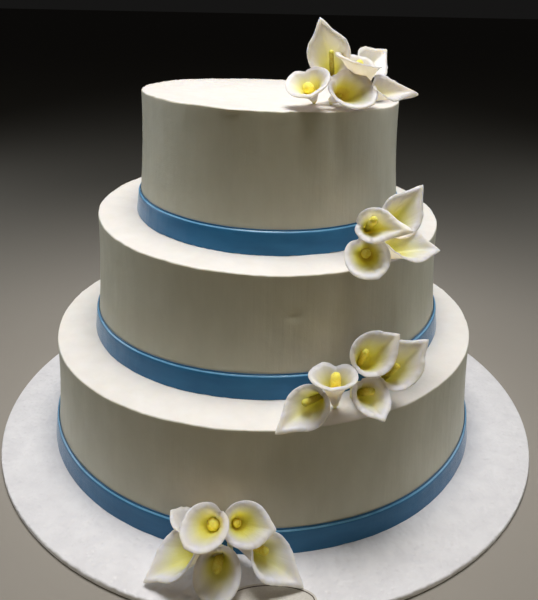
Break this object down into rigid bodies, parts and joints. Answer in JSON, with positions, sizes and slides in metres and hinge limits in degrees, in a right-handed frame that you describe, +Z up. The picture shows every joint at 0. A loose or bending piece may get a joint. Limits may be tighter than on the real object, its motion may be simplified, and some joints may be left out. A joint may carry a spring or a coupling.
{
  "type": "tiered wedding cake",
  "caption": "Round tiered wedding cake in smooth white icing on its board, with blue ribbon round each tier and sprays of sugar calla lilies.",
  "frame": {"origin": "middle of the board's underside, on the surface that it stands on", "axes": "+Z up through the tiers, -Y towards the front, where the lowest spray lies on the board"},
  "size_m": [0.482, 0.482, 0.3628],
  "materials": {
    "board": "embossed white foil paper, satin",
    "label": "plain printed sticker, bare of text",
    "icing": "smooth buttercream, faint upright smoothing marks",
    "ribbon": "blue satin ribbon",
    "petal": "sugar paste, white with a yellow throat",
    "spadix": "yellow sugar paste, rough"
  },
  "bodies": {
    "root": {"board": "board", "board_label": "label", "tier_bottom": "icing", "ribbon_bottom": "ribbon", "tier_middle": "icing", "ribbon_middle": "ribbon", "tier_top": "icing", "ribbon_top": "ribbon", "top_spray_lily_1": "petal", "top_spray_lily_1_spadix": "spadix", "top_spray_lily_2": "petal", "top_spray_lily_2_spadix": "spadix", "top_spray_lily_3": "petal", "top_spray_lily_3_spadix": "spadix", "top_spray_lily_4": "petal", "top_spray_lily_4_spadix": "spadix", "top_spray_lily_5": "petal", "top_spray_lily_5_spadix": "spadix", "top_spray_lily_6": "petal", "top_spray_lily_6_spadix": "spadix", "middle_spray_lily_1": "petal", "middle_spray_lily_1_spadix": "spadix", "middle_spray_lily_2": "petal", "middle_spray_lily_2_spadix": "spadix", "middle_spray_lily_3": "petal", "middle_spray_lily_3_spadix": "spadix", "middle_spray_lily_4": "petal", "middle_spray_lily_4_spadix": "spadix", "bottom_spray_lily_1": "petal", "bottom_spray_lily_1_spadix": "spadix", "bottom_spray_lily_2": "petal", "bottom_spray_lily_2_spadix": "spadix", "bottom_spray_lily_3": "petal", "bottom_spray_lily_3_spadix": "spadix", "bottom_spray_lily_4": "petal", "bottom_spray_lily_4_spadix": "spadix", "bottom_spray_lily_5": "petal", "bottom_spray_lily_5_spadix": "spadix", "board_spray_lily_1": "petal", "board_spray_lily_1_spadix": "spadix", "board_spray_lily_2": "petal", "board_spray_lily_2_spadix": "spadix", "board_spray_lily_3": "petal", "board_spray_lily_3_spadix": "spadix", "board_spray_lily_4": "petal", "board_spray_lily_4_spadix": "spadix", "board_spray_lily_5": "petal", "board_spray_lily_5_spadix": "spadix", "board_spray_lily_6": "petal", "board_spray_lily_6_spadix": "spadix"}
  },
  "joints": []
}
